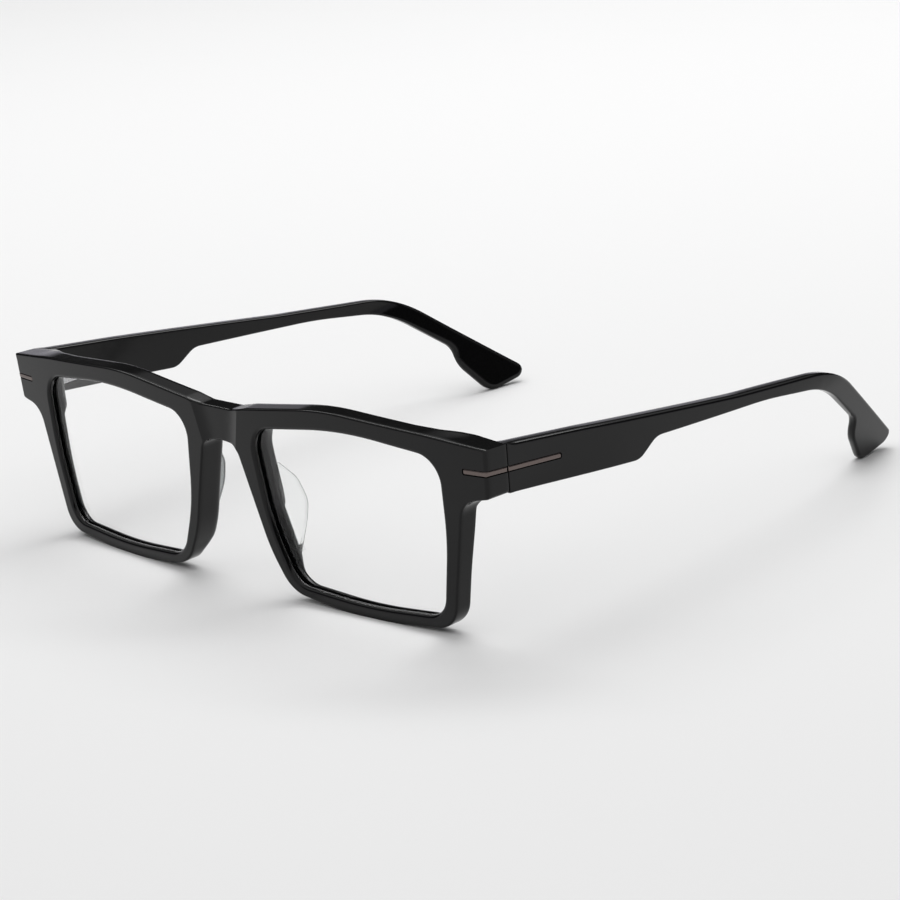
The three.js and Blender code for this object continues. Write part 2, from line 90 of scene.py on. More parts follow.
def rounded(corners, spacing=0.8):
    """Points of a closed outline with rounded corners, no two further apart than the spacing."""
    points = []
    count = len(corners)
    for index, (x, y, radius) in enumerate(corners):
        corner = np.array((x, y), float)
        before = np.array(corners[index - 1][:2], float)
        after = np.array(corners[(index + 1) % count][:2], float)
        if radius == 0:
            points.append(corner)
            continue
        room = min(np.linalg.norm(corner - before), np.linalg.norm(after - corner)) * CORNER_SHARE
        inward = (corner - before) / np.linalg.norm(corner - before)
        outward = (after - corner) / np.linalg.norm(after - corner)
        turn = math.atan2(inward[0] * outward[1] - inward[1] * outward[0], inward @ outward)
        reach = min(radius * math.tan(abs(turn) / 2), room)
        side = math.copysign(reach / math.tan(abs(turn) / 2), turn)
        spoke = side * np.array((inward[1], -inward[0]))
        centre = corner - inward * reach - spoke
        steps = max(3, math.ceil(abs(turn) / ARC_STEP), math.ceil(2 * reach / spacing))
        for angle in np.linspace(0, turn, steps + 1):
            c, s = math.cos(angle), math.sin(angle)
            points.append(centre + (spoke[0] * c - spoke[1] * s, spoke[0] * s + spoke[1] * c))
    dense = []
    for a, b in zip(points, points[1:] + points[:1]):
        if np.linalg.norm(b - a) < SAME_POINT:
            continue
        steps = max(1, math.ceil(np.linalg.norm(b - a) / spacing - STEP_SLACK))
        dense.extend(a + (b - a) * k / steps for k in range(steps))
    loop = np.array(dense)
    area = np.sum(loop[:, 0] * np.roll(loop[:, 1], -1) - loop[:, 1] * np.roll(loop[:, 0], -1))
    return loop if area > 0 else loop[::-1].copy()


def with_mirror(corners):
    """A half outline completed by its mirror image across X = 0."""
    return corners + [(-x, y, r) for x, y, r in reversed(corners) if x > 0]


def inward_normals(loop, hole):
    """At each point, the direction into the material, scaled so that an even offset keeps straight sides."""
    edges = np.roll(loop, -1, axis=0) - loop
    edges /= np.linalg.norm(edges, axis=1)[:, None]
    sides = np.stack([-edges[:, 1], edges[:, 0]], axis=1)
    before = np.roll(sides, 1, axis=0)
    normals = (sides + before) / (1 + np.sum(sides * before, axis=1))[:, None]
    return -normals if hole else normals


def inside(points, loop):
    """Which points lie inside a closed loop."""
    x, y = points[:, 0][:, None], points[:, 1][:, None]
    ax, ay = loop[:, 0][None], loop[:, 1][None]
    bx, by = np.roll(loop[:, 0], -1)[None], np.roll(loop[:, 1], -1)[None]
    crosses = (ay > y) != (by > y)
    at = ax + (y - ay) / np.where(by == ay, 1, by - ay) * (bx - ax)
    return np.sum(crosses & (x < at), axis=1) % 2 == 1


def clearance(points, chain):
    """Distance from each point to the nearest point of a chain."""
    return np.sqrt(((points[:, None] - chain[None]) ** 2).sum(axis=2)).min(axis=1)


# ---- Plates ---------------------------------------------------------------------------------------------
# A plate is a flat outline, with holes, given a front and a back surface by a place(u, v, depth, back)
# function. Each loop carries rows of (inset, depth) that round its edges; a row's depth counts from the
# front surface, or from the back one, or is a share of the way between them.
FRONT, WALL, BACK = range(3)


def arc_rows(radius, where, steps=4, squash=1.0):
    """Rows round an edge, from the face to the wall. The radius may differ from point to point."""
    rows = []
    for k in range(steps + 1):
        angle = math.pi / 2 * k / steps
        rows.append((radius * (1 - math.sin(angle)), radius * squash * (1 - math.cos(angle)), where))
    return rows


def edge_rows(front_radius, back_radius, wall_steps=4, hold=0.12):
    """The usual edge: a rounded front corner, a wall and a rounded back corner."""
    rows = [(front_radius + hold, 0, FRONT)] + arc_rows(front_radius, FRONT)
    rows += [(0, k / wall_steps, WALL) for k in range(1, wall_steps)]
    rows += arc_rows(back_radius, BACK)[::-1] + [(back_radius + hold, 0, BACK)]
    return rows


def plate(name, loops, place, spacing=1.4, chains=()):
    """A closed mesh from [(loop, is_hole, rows)], with extra chains of points worked into both faces."""
    vertices, faces = [], []
    rims = {FRONT: [], BACK: []}
    for loop, hole, rows in loops:
        normals = inward_normals(loop, hole)
        ends = [None, None]
        for kind, pick in ((FRONT, 0), (BACK, 1)):
            depths = [r[1] for r in rows if r[2] == kind]
            ends[pick] = np.max([np.broadcast_to(d, len(loop)) for d in depths], axis=0)
        start = len(vertices)
        for inset, depth, kind in rows:
            flat = loop + normals * np.broadcast_to(inset, len(loop))[:, None]
            near = place(flat[:, 0], flat[:, 1], ends[0], False)
            far = place(flat[:, 0], flat[:, 1], ends[1], True)
            if kind == WALL:
                row = near + (far - near) * depth
            else:
                row = place(flat[:, 0], flat[:, 1], np.broadcast_to(depth, len(loop)), kind == BACK)
            vertices.extend(row)
        count = len(loop)
        for r in range(len(rows) - 1):
            for k in range(count):
                a, b = start + r * count + k, start + r * count + (k + 1) % count
                c, d = b + count, a + count
                faces.append((a, d, c, b) if not hole else (a, b, c, d))
        for kind, at in ((FRONT, 0), (BACK, len(rows) - 1)):
            flat = loop + normals * np.broadcast_to(rows[at][0], count)[:, None]
            rims[kind].append((flat, start + at * count, hole))
    for kind in (FRONT, BACK):
        fill(vertices, faces, rims[kind], place, kind == BACK, spacing, chains)
    return mesh_object(name, np.array(vertices), faces)


# The height of the grid's rows, and the room kept round points already there, as shares of the spacing.
ROW_HEIGHT, ROOM_FOR_CHAIN, ROOM_FOR_GRID, ROOM_BESIDE_CHAIN = 0.87, 0.12, 0.45, 0.3
ONE_POINT = 1e-6  # points closer together than this are one to the triangulation


def fill(vertices, faces, rims, place, back, spacing, chains):
    """Triangulates one face of a plate between its rims, with a grid of points that follow the surface."""
    # The triangulation works in single precision, so the rims are rounded to it first.
    rims = [(np.float32(rim).astype(float), start, hole) for rim, start, hole in rims]
    flat = [point for rim, _, _ in rims for point in rim]
    owner = [start + k for rim, start, _ in rims for k in range(len(rim))]
    edges, at = [], 0
    for rim, _, _ in rims:
        edges += [(at + k, at + (k + 1) % len(rim)) for k in range(len(rim))]
        at += len(rim)
    outer = rims[0][0]
    low, high = outer.min(axis=0), outer.max(axis=0)
    grid = np.array([
        (low[0] + spacing * (i + 0.5 * (j % 2)), low[1] + spacing * ROW_HEIGHT * j)
        for j in range(int((high[1] - low[1]) / (spacing * ROW_HEIGHT)) + 1)
        for i in range(int((high[0] - low[0]) / spacing) + 2)
    ])
    taken = np.array(flat)

    def free(points, room):
        keep = inside(points, outer)
        for rim, _, _ in rims[1:]:
            keep &= ~inside(points, rim)
        points = points[keep]
        return points[clearance(points, taken) > room] if len(points) else points

    extra = []
    for chain in chains:
        kept = free(np.array(chain, float), spacing * ROOM_FOR_CHAIN)
        extra.extend(kept)
    grid = free(grid, spacing * ROOM_FOR_GRID)
    if extra:
        grid = grid[clearance(grid, np.array(extra)) > spacing * ROOM_BESIDE_CHAIN]
    points = [Vector(p) for p in flat + extra + list(grid)]
    made, _, triangles, origins, _, _ = delaunay_2d_cdt(points, edges, [], 0, ONE_POINT)
    centres = np.array([np.mean([made[i] for i in t], axis=0) for t in triangles])
    keep = inside(centres, outer)
    for rim, _, _ in rims[1:]:
        keep &= ~inside(centres, rim)
    index = {}
    inner = [(i, made[i]) for i in range(len(made)) if not origins[i] or origins[i][0] >= len(owner)]
    if inner:
        uv = np.array([tuple(p) for _, p in inner])
        placed = place(uv[:, 0], uv[:, 1], np.zeros(len(uv)), back)
        for (i, _), position in zip(inner, placed):
            index[i] = len(vertices)
            vertices.append(position)
    for i in range(len(made)):
        if i not in index:
            index[i] = owner[origins[i][0]]
    for triangle, kept in zip(triangles, keep):
        if kept:
            a, b, c = (index[i] for i in triangle)
            faces.append((a, b, c) if not back else (c, b, a))


def in_row(points):
    """Points of the front's own frame, in millimetres, as points of the row's frame, in metres."""
    points = np.asarray(points, float)
    c, s = math.cos(LEAN), math.sin(LEAN)
    out = np.empty_like(points)
    out[:, 0] = points[:, 0]
    out[:, 1] = points[:, 1] * c - points[:, 2] * s + ORIGIN.y
    # Whatever reaches the surface it stands on is worn flat there.
    out[:, 2] = np.maximum(0, points[:, 1] * s + points[:, 2] * c + ORIGIN.z)
    return out * MM


SHARP_ANGLE, SCREW_SHARP_ANGLE = 38, 30  # degrees
WELD = 1e-7  # metres


def mesh_object(name, points, faces, sharp=SHARP_ANGLE):
    """An object from points of the front's own frame and faces, with its normals facing outwards."""
    mesh = bpy.data.meshes.new(name)
    mesh.from_pydata([tuple(p) for p in in_row(points)], [], faces)
    work = bmesh.new()
    work.from_mesh(mesh)
    bmesh.ops.remove_doubles(work, verts=work.verts, dist=WELD)
    bmesh.ops.recalc_face_normals(work, faces=work.faces)
    work.to_mesh(mesh)
    work.free()
    made = bpy.data.objects.new(name, mesh)
    bpy.context.scene.collection.objects.link(made)
    soften(made, sharp)
    return made


def soften(made, sharp=SHARP_ANGLE):
    """Smooth shading, except over edges that turn by more than the angle."""
    made.data.polygons.foreach_set("use_smooth", [True] * len(made.data.polygons))
    made.data.set_sharp_from_angle(angle=math.radians(sharp))


def mirrored(made, name):
    """The same piece on the other side of the nose."""
    copy = bpy.data.objects.new(name, made.data.copy())
    bpy.context.scene.collection.objects.link(copy)
    work = bmesh.new()
    work.from_mesh(copy.data)
    bmesh.ops.scale(work, vec=(-1, 1, 1), verts=work.verts)
    bmesh.ops.reverse_faces(work, faces=work.faces)
    work.to_mesh(copy.data)
    work.free()
    return copy


def carve(made, *cutters):
    """Cuts pieces out of another, and takes them away."""
    for cutter in cutters:
        cut = made.modifiers.new("cut", "BOOLEAN")
        cut.operation, cut.solver, cut.object = "DIFFERENCE", "EXACT", cutter
    evaluated = made.evaluated_get(bpy.context.evaluated_depsgraph_get())
    mesh = bpy.data.meshes.new_from_object(evaluated)
    made.modifiers.clear()
    made.data = mesh
    for cutter in cutters:
        bpy.data.objects.remove(cutter)
    soften(made)


def smoothstep(low, high, value):
    t = np.clip((value - low) / (high - low), 0, 1)
    return t * t * (3 - 2 * t)


# ---- Front ----------------------------------------------------------------------------------------------
# The sunken panel on the bridge: half its width at its foot, what it gains by its head, the height between
# the two, and how far its sides run before they are at full depth.
RECESS_FOOT_WIDTH, RECESS_WIDENING, RECESS_HEIGHT, RECESS_RUN = 5.1, 2.2, 8.8, 3.6
RECESS_FOOT, RECESS_LIMIT = (-9.0, -8.5), 1.1

# Chains of points beside the panel's edges: how far in they run, and between which levels.
CHAIN_SHIFTS, CHAIN_LEVELS, CHAIN_POINTS = (-0.12, 0.0, 0.14, 0.5, 1.1, 1.8, 2.6), (0.2, -10.0), 24

# The back: each change in thickness, and the spans across and up over which it comes in.
NASAL_EXTRA, NASAL_ACROSS, NASAL_FOOT, NASAL_HEAD = 1.9, (13.0, 17.5), (-36.5, -31.0), (-6.0, -1.0)
LOW_LOSS, LOW_UP = 0.35, (-40.0, -33.0)
SHOULDER_EXTRA, SHOULDER_ACROSS, SHOULDER_UP = 0.5, (52.0, 60.0), (-28.0, -14.0)
DRAWN_ACROSS, DRAWN_UP = (58.0, 66.2), (-13.0, -10.8)

# The end pieces fall away towards the temples, more so at the top.
FALL, FALL_AT_TOP, FALL_START = 0.04, 0.025, 0.2
FALL_ACROSS, FALL_UP, FALL_TOP = (60.0, 67.0), (-12.0, -10.8), (-9.5, -3.0)

# Edge radii, and the spans over which they change.
FRONT_EDGE, FRONT_EDGE_LOW = 0.36, 0.1
BACK_EDGE, BACK_EDGE_NOSE, BACK_EDGE_LOW, BACK_EDGE_END = 0.4, 0.9, 0.45, 0.1
SIDE_ACROSS, SIDE_FOOT, SIDE_HEAD, SIDE_HEAD_LOSS = (71.5, 72.2), (-10.4, -9.2), (-1.2, -0.2), 0.4
NOSE_ACROSS, NOSE_UP = (15.0, 18.0), (-8.5, -6.5)
END_ACROSS, END_UP = (63.5, 66.0), (-11.5, -10.0)
EDGE_LOW_UP = (-38.0, -35.5)

# The edge of a lens opening: the roll to the lip, then lip, groove and back wall as (inset, depth).
LIP, ROLL, ROLL_STEPS, ROLL_HOLD = 0.25, 0.75, 5, 0.12
GROOVE_BOTTOM, GROOVE_FRONT, GROOVE_BACK = 1.35, 1.15, 2.65
LIP_AND_GROOVE = [
    (-LIP, 0.98), (-0.19, 1.1), (-0.05, GROOVE_FRONT), (GROOVE_BOTTOM, GROOVE_FRONT),
    (GROOVE_BOTTOM, GROOVE_BACK), (0.1, GROOVE_BACK), (-0.02, 2.69), (-0.06, 2.77),
]
OPENING_BACK_ROUND, OPENING_BACK_SQUASH, OPENING_BACK_HOLD, OPENING_BACK_SET = 0.8, 1.6, 0.08, 0.06


def wrapped(x, radius):
    """How far back a face of that radius has curved by X."""
    return radius - np.sqrt(radius ** 2 - x ** 2)


def recess_edge(z):
    """Half the width of the sunken panel on the bridge, narrower towards its foot."""
    return RECESS_FOOT_WIDTH + RECESS_WIDENING * np.clip((z + RECESS_HEIGHT) / RECESS_HEIGHT, 0, RECESS_LIMIT)


def front_surface(x, z):
    """Y of the front face: the wrap, and the sunken panel with its crisp edge and soft floor."""
    share = np.clip((recess_edge(z) - np.abs(x)) / RECESS_RUN, 0, 1)
    foot = smoothstep(*RECESS_FOOT, z)
    return wrapped(x, FRONT_WRAP) + RECESS_DEPTH * share * (1.5 - 0.5 * share ** 2) * foot


def back_surface(x, z):
    """Y of the back: thicker beside the nose, thinner low down, and drawn out into the end pieces."""
    across = np.abs(x)
    nasal = (1 - smoothstep(*NASAL_ACROSS, across)) * smoothstep(*NASAL_FOOT, z)
    nasal = nasal * (1 - smoothstep(*NASAL_HEAD, z))
    low = 1 - smoothstep(*LOW_UP, z)
    shoulder = smoothstep(*SHOULDER_ACROSS, across) * smoothstep(*SHOULDER_UP, z)
    rim = wrapped(x, BACK_WRAP) + RIM_THICKNESS + NASAL_EXTRA * nasal - LOW_LOSS * low
    rim = rim + SHOULDER_EXTRA * shoulder
    drawn = smoothstep(*DRAWN_ACROSS, across) * smoothstep(*DRAWN_UP, z)
    return rim + (END_PIECE_BACK - rim) * drawn


def place_front(x, z, depth, back):
    y = back_surface(x, z) - depth if back else front_surface(x, z) + depth
    behind = np.maximum(0, y - front_surface(x, z) - FALL_START)
    falling = (FALL + FALL_AT_TOP * smoothstep(*FALL_TOP, z)) * behind * smoothstep(*FALL_ACROSS, np.abs(x))
    falling = falling * smoothstep(*FALL_UP, z)
    return np.stack([x, y, z - falling], axis=1)


def front_edge_radii(loop):
    """The front's and the back's edge radius at each point of the outline."""
    across, up = np.abs(loop[:, 0]), loop[:, 1]
    side = smoothstep(*SIDE_ACROSS, across) * (1 - SIDE_HEAD_LOSS * smoothstep(*SIDE_HEAD, up))
    side = side * smoothstep(*SIDE_FOOT, up)
    front = FRONT_EDGE + (CORNER_ROUND - FRONT_EDGE) * side
    nose = (1 - smoothstep(*NOSE_ACROSS, across)) * (1 - smoothstep(*NOSE_UP, up))
    end = smoothstep(*END_ACROSS, across) * smoothstep(*END_UP, up)
    back = (BACK_EDGE + BACK_EDGE_NOSE * nose) * (1 - end) + BACK_EDGE_END * end
    low = 1 - smoothstep(*EDGE_LOW_UP, up)
    return front + FRONT_EDGE_LOW * low * (1 - side), back + BACK_EDGE_LOW * low * (1 - nose)


def opening_rows():
    """The edge of a lens opening: a soft roll to a lip, the groove that holds the lens, and the back wall."""
    back = arc_rows(OPENING_BACK_ROUND, BACK, 6, OPENING_BACK_SQUASH)[::-1]
    rows = [(ROLL - LIP + ROLL_HOLD, 0, FRONT)]
    rows += [(inset - LIP, depth, kind) for inset, depth, kind in arc_rows(ROLL, FRONT, ROLL_STEPS)]
    rows += [(inset, depth, FRONT) for inset, depth in LIP_AND_GROOVE]
    rows += [(inset - OPENING_BACK_SET, depth, kind) for inset, depth, kind in back]
    rows += [(OPENING_BACK_ROUND + OPENING_BACK_HOLD, 0, BACK)]
    return rows


def front_frame():
    outline = rounded(with_mirror(FRONT_OUTLINE))
    front_radius, back_radius = front_edge_radii(outline)
    loops = [(outline, False, edge_rows(front_radius, back_radius, wall_steps=6))]
    opening = rounded(LENS_OPENING)
    for hole in (opening, (opening * (-1, 1))[::-1].copy()):
        loops.append((hole, True, opening_rows()))
    levels = np.linspace(*CHAIN_LEVELS, CHAIN_POINTS)
    chains = [
        [(side * (recess_edge(z) - shift), z) for z in levels] for side in (-1, 1) for shift in CHAIN_SHIFTS
    ]
    return plate("acetate_front", loops, place_front, chains=chains)


# ---- Temples --------------------------------------------------------------------------------------------
BOW_START = 20.0
LEAN_LEVEL, LEAN_BLEND, LEAN_SLOPE = -14.5, 4.0, 0.34
END_PIECE_HEIGHT, TAPER_ALONG = 9.7, (12.0, 42.0)
TEMPLE_THICKNESS, TEMPLE_THINNING, THINNING_ALONG = 3.3, 1.0, (84.0, 112.0)

# Edge radii of the temples: along most of the length, at the joint and at the tip.
JOINT_ALONG, TIP_ALONG, UPWARD = (10.4, 12.0), (104.0, 122.0), (0.2, 0.8)
TEMPLE_FRONT_EDGE, TEMPLE_TOP_EXTRA, TEMPLE_BACK_EDGE = 0.3, 0.4, 0.45
JOINT_FRONT_EDGE, JOINT_BACK_LOSS = 0.12, 0.35
TIP_FRONT_EDGE, TIP_BACK_EXTRA = 0.6, 0.75


def temple_face(y, z):
    """X of the outer face: it bows inwards, and leans in below the bend behind the ear."""
    below = np.maximum(0, LEAN_LEVEL - z)
    leaning = np.where(below < LEAN_BLEND, below ** 2 / (2 * LEAN_BLEND), below - LEAN_BLEND / 2)
    taper = SIDE_TAPER * np.clip(-z, 0, END_PIECE_HEIGHT) * (1 - smoothstep(*TAPER_ALONG, y))
    bowed = np.maximum(0, y - BOW_START) ** 2 / (2 * TEMPLE_BOW)
    return TEMPLE_HALF_WIDTH - bowed - LEAN_SLOPE * leaning - taper


def temple_thickness(y):
    return TEMPLE_THICKNESS - TEMPLE_THINNING * smoothstep(*THINNING_ALONG, y)


def place_temple(y, z, depth, back):
    inward = temple_thickness(y) - depth if back else depth
    return np.stack([temple_face(y, z) - inward, y, z], axis=1)


def temple():
    profile = rounded(TEMPLE_PROFILE)
    along = profile[:, 0]
    at_joint = 1 - smoothstep(*JOINT_ALONG, along)
    tip = smoothstep(*TIP_ALONG, along)
    facing_up = smoothstep(*UPWARD, -inward_normals(profile, False)[:, 1])
    front_radius = TEMPLE_FRONT_EDGE + TEMPLE_TOP_EXTRA * facing_up
    front_radius = front_radius * (1 - at_joint) + JOINT_FRONT_EDGE * at_joint
    front_radius = front_radius * (1 - tip) + TIP_FRONT_EDGE * tip
    back_radius = TEMPLE_BACK_EDGE - JOINT_BACK_LOSS * at_joint + TIP_BACK_EXTRA * tip
    rows = edge_rows(front_radius, back_radius, wall_steps=3)
    return plate("acetate_temple_left", [(profile, False, rows)], place_temple, spacing=1.6)


# ---- Lenses and nose pads -------------------------------------------------------------------------------
LENS_EDGE, LENS_HOLD = 0.15, 0.05
PAD_TOP = np.array((8.0, 5.9, -12.5))
PAD_FLARE_ANGLE = math.radians(23)
PAD_DOWN = np.array((6.5, 0, -19)) / math.hypot(6.5, 19)
PAD_FLARE = np.array((math.sin(PAD_FLARE_ANGLE), math.cos(PAD_FLARE_ANGLE), 0))
PAD_ACROSS = np.cross(PAD_DOWN, PAD_FLARE) / np.linalg.norm(np.cross(PAD_DOWN, PAD_FLARE))
PAD_OUT = np.cross(PAD_ACROSS, PAD_DOWN)
PAD_THICKNESS, PAD_EDGE = 2.3, 0.7

# Down the nose side of the rim, and out from its back.
PAD_OUTLINE = [
    (0.2, -0.3, 0), (0.6, 1.6, 1.2), (4.6, 4.1, 5), (9.6, 4.75, 6),
    (13.2, 3.2, 6), (18.6, 0.1, 2), (19.2, -0.3, 0),
]


def place_lens(x, z, depth, back):
    inward = LENS_THICKNESS - depth if back else depth
    return np.stack([x, wrapped(x, FRONT_WRAP) + LENS_SETBACK + inward, z], axis=1)


def lens():
    opening = rounded(LENS_OPENING)
    edge = opening - inward_normals(opening, False) * LENS_TUCK
    rows = edge_rows(LENS_EDGE, LENS_EDGE, wall_steps=2, hold=LENS_HOLD)
    return plate("lens_left_clear", [(edge, False, rows)], place_lens, spacing=2.0)


def place_pad(down, out, depth, back):
    across = PAD_THICKNESS - depth if back else depth
    return PAD_TOP + down[:, None] * PAD_DOWN + out[:, None] * PAD_OUT + across[:, None] * PAD_ACROSS


def nose_pad():
    outline = rounded(PAD_OUTLINE, spacing=0.5)
    rows = edge_rows(PAD_EDGE, PAD_EDGE, wall_steps=2)
    return plate("nose_pad_left_clear", [(outline, False, rows)], place_pad, spacing=0.9)


# ---- Trim bars ------------------------------------------------------------------------------------------
TRIM_HEIGHT, TRIM_INNER, TRIM_JOINT, TRIM_END = 1.08, 67.1, 9.93, 23.8
TRIM_LEVEL, TRIM_LEVEL_AT_JOINT, TRIM_LEVEL_AT_END = -4.75, -5.3, -6.85
CORNER_Y = float(wrapped(FRONT_HALF_WIDTH, FRONT_WRAP)) + CORNER_ROUND
FACE_RUN = FRONT_HALF_WIDTH - CORNER_ROUND - TRIM_INNER
TURN_RUN = CORNER_ROUND * math.pi / 2
SIDE_RUN = TRIM_JOINT - CORNER_Y
FRONT_RUN = FACE_RUN + TURN_RUN + SIDE_RUN
TRIM_SINK, FRONT_TRIM_DEPTH, TEMPLE_TRIM_DEPTH = 0.02, 0.5, 0.7
TRIM_FRONT_ROUND, TRIM_TEMPLE_ROUND, TRIM_JOINT_GAP = 0.3, 0.45, 0.06
BAR_EDGE, BAR_BACK_EDGE, BAR_HOLD = 0.28, 0.02, 0.04

# The grooves are cut by bars a little wider than the trim, standing out past the face and the joint.
GROOVE, GROOVE_STANDING, GROOVE_PAST = 0.09, 0.6, 1.0
GROOVE_FRONT_ROUND, GROOVE_TEMPLE_ROUND = 0.4, 0.5


def place_front_trim(run, up, depth, back):
    """Along the front face, round its corner and back along the side of the end piece."""
    inward = FRONT_TRIM_DEPTH - depth if back else TRIM_SINK + depth
    turn = np.clip((run - FACE_RUN) / TURN_RUN, 0, 1) * math.pi / 2
    on_face = np.minimum(run, FACE_RUN)
    on_side = np.maximum(0, run - FACE_RUN - TURN_RUN)
    reach = CORNER_ROUND - inward
    face_y = wrapped(TRIM_INNER + on_face, FRONT_WRAP) - wrapped(FRONT_HALF_WIDTH, FRONT_WRAP)
    x = TRIM_INNER + on_face + np.sin(turn) * (reach + SIDE_TAPER * (TRIM_LEVEL + up))
    y = CORNER_Y + face_y * (1 - turn / (math.pi / 2)) - np.cos(turn) * reach + on_side
    level = TRIM_LEVEL + (TRIM_LEVEL_AT_JOINT - TRIM_LEVEL) * on_side / SIDE_RUN
    return np.stack([x, y, level + up], axis=1)


def place_temple_trim(along, up, depth, back):
    inward = TEMPLE_TRIM_DEPTH - depth if back else TRIM_SINK + depth
    share = (along - TEMPLE_START) / (TRIM_END - TEMPLE_START)
    level = TRIM_LEVEL_AT_JOINT + (TRIM_LEVEL_AT_END - TRIM_LEVEL_AT_JOINT) * share
    return np.stack([temple_face(along, level) - inward, along, level + up], axis=1)


def bar_outline(start, end, margin, start_round, end_round):
    """A bar's outline. The margin widens it and draws a square end back, or lengthens a round one."""
    half = TRIM_HEIGHT / 2 + margin
    low, high = start - (margin if start_round else -margin), end + (margin if end_round else -margin)
    corners = [
        (low, -half, start_round), (high, -half, end_round),
        (high, half, end_round), (low, half, start_round),
    ]
    return rounded(corners, spacing=0.4)


def bar(name, outline, place, standing=0.0):
    """A bar that follows place(), or a cutter for its groove, which stands out past the face."""
    def lifted(u, v, depth, back):
        return place(u, v, depth if back else depth - standing, back)

    rows = edge_rows(BAR_BACK_EDGE if standing else BAR_EDGE, BAR_BACK_EDGE, wall_steps=2, hold=BAR_HOLD)
    return plate(name, [(outline, False, rows)], lifted, spacing=0.5)


def front_trim():
    outline = bar_outline(0, FRONT_RUN, 0, TRIM_FRONT_ROUND, 0)
    return bar("front_trim_left_bar", outline, place_front_trim)


def temple_trim():
    outline = bar_outline(TEMPLE_START + TRIM_JOINT_GAP, TRIM_END, 0, 0, TRIM_TEMPLE_ROUND)
    return bar("temple_trim_left_bar", outline, place_temple_trim)


def front_groove():
    outline = bar_outline(0, FRONT_RUN + GROOVE_PAST, GROOVE, GROOVE_FRONT_ROUND, 0)
    return bar("front_groove", outline, place_front_trim, standing=GROOVE_STANDING)


def temple_groove():
    outline = bar_outline(TEMPLE_START - GROOVE_PAST, TRIM_END, GROOVE, 0, GROOVE_TEMPLE_ROUND)
    return bar("temple_groove", outline, place_temple_trim, standing=GROOVE_STANDING)


# ---- Hinges ---------------------------------------------------------------------------------------------
PITCH = KNUCKLE_HEIGHT + KNUCKLE_GAP
STACK_BOTTOM = HINGE_MIDDLE - (5 * KNUCKLE_HEIGHT + 4 * KNUCKLE_GAP) / 2
STACK_TOP = HINGE_MIDDLE + (5 * KNUCKLE_HEIGHT + 4 * KNUCKLE_GAP) / 2
ROUND_STEPS, HOLE_STEPS = 40, 24
KNUCKLE_EDGE, BORE_EDGE, BORE_PLAY, KNUCKLE_HOLD = 0.1, 0.06, 0.06, 0.03
LEAF_THICKNESS, LEAF_EDGE, LEAF_BACK_EDGE, LEAF_HOLD = 0.9, 0.12, 0.05, 0.04

# The front leaf stands a little out of the end piece's back. Its knuckles are rooted in it.
FRONT_LEAF_INNER, FRONT_LEAF_OUTER, FRONT_LEAF_HALF, FRONT_LEAF_ROUND = 66.2, 71.6, 3.4, 0.8
FRONT_LEAF_STANDING, FRONT_ROOT_Y = 0.1, 9.8

# The temple leaf is let into the temple's inner side: (back, up, rounding radius), with two rivet holes.
TEMPLE_LEAF_INSET = 3.4
TEMPLE_LEAF_OUTLINE = [
    (12.9, -8.9, 1.0), (20.8, -8.9, 1.4), (20.8, -5.8, 1.3), (16.6, -3.3, 1.3), (12.9, -3.1, 1.0),
]
RIVET_HOLES, RIVET_RADIUS, RIVET_BACK_EDGE = ((15.6, -5.9), (18.8, -7.1)), 0.45, 0.02
TEMPLE_ROOTS = [(70.2, 13.6), (70.2, 16.0)]

# The screw's profile as (radius, level): the point below the knuckles and the head above them.
SCREW_POINT = [(0, -0.2), (PIN_RADIUS - 0.15, -0.2), (PIN_RADIUS, -0.05)]
SCREW_HEAD = [
    (PIN_RADIUS, 0), (1.05, 0), (1.15, 0.08), (1.15, 0.2), (1.08, 0.28), (0.85, 0.35), (0.5, 0.39), (0, 0.4),
]
SLOT_TURN, SLOT_HALF_LENGTH, SLOT_HALF_WIDTH = math.radians(35), 1.5, 0.14
SLOT_FLOOR, SLOT_CEILING, SLOT_EDGE = 0.18, 1.2, 0.02
STRAIGHT = 1e-12


def ring(radius, steps=ROUND_STEPS):
    """A circle round the pin, seen from above."""
    angles = np.linspace(0, 2 * math.pi, steps, endpoint=False)
    return np.stack([PIN_X + radius * np.cos(angles), PIN_Y + radius * np.sin(angles)], axis=1)


def hull(points):
    """The convex outline round a set of points, anticlockwise."""
    points = sorted(map(tuple, points))

    def half(sequence):
        chain = []
        for p in sequence:
            while len(chain) > 1:
                (ax, ay), (bx, by) = chain[-2:]
                if (bx - ax) * (p[1] - ay) - (by - ay) * (p[0] - ax) > STRAIGHT:
                    break
                chain.pop()
            chain.append(p)
        return chain[:-1]

    corners = half(points) + half(points[::-1])
    return rounded([(x, y, 0) for x, y in corners], spacing=0.5)


def knuckle(name, level, roots):
    """One knuckle with its arm: a plate seen from above, bored for the screw."""
    def place(x, y, depth, back):
        return np.stack([x, y, level + (KNUCKLE_HEIGHT - depth if back else depth)], axis=1)

    outline = hull(list(map(tuple, ring(KNUCKLE_RADIUS))) + roots)
    rows = edge_rows(KNUCKLE_EDGE, KNUCKLE_EDGE, wall_steps=2, hold=KNUCKLE_HOLD)
    bore_rows = edge_rows(BORE_EDGE, BORE_EDGE, wall_steps=2, hold=KNUCKLE_HOLD)
    loops = [(outline, False, rows), (ring(PIN_RADIUS + BORE_PLAY), True, bore_rows)]
    return plate(name, loops, place, spacing=0.6)


def joined(name, pieces):
    """Several meshes as one object."""
    with bpy.context.temp_override(active_object=pieces[0], selected_editable_objects=pieces):
        bpy.ops.object.join()
    pieces[0].name = name
    pieces[0].data.name = name
    return pieces[0]


def leaf(outline, holes, place):
    """The flat part of a hinge leaf."""
    rows = edge_rows(LEAF_EDGE, LEAF_BACK_EDGE, wall_steps=2, hold=LEAF_HOLD)
    return plate("leaf", [(rounded(outline, spacing=0.5), False, rows)] + holes, place, spacing=0.8)


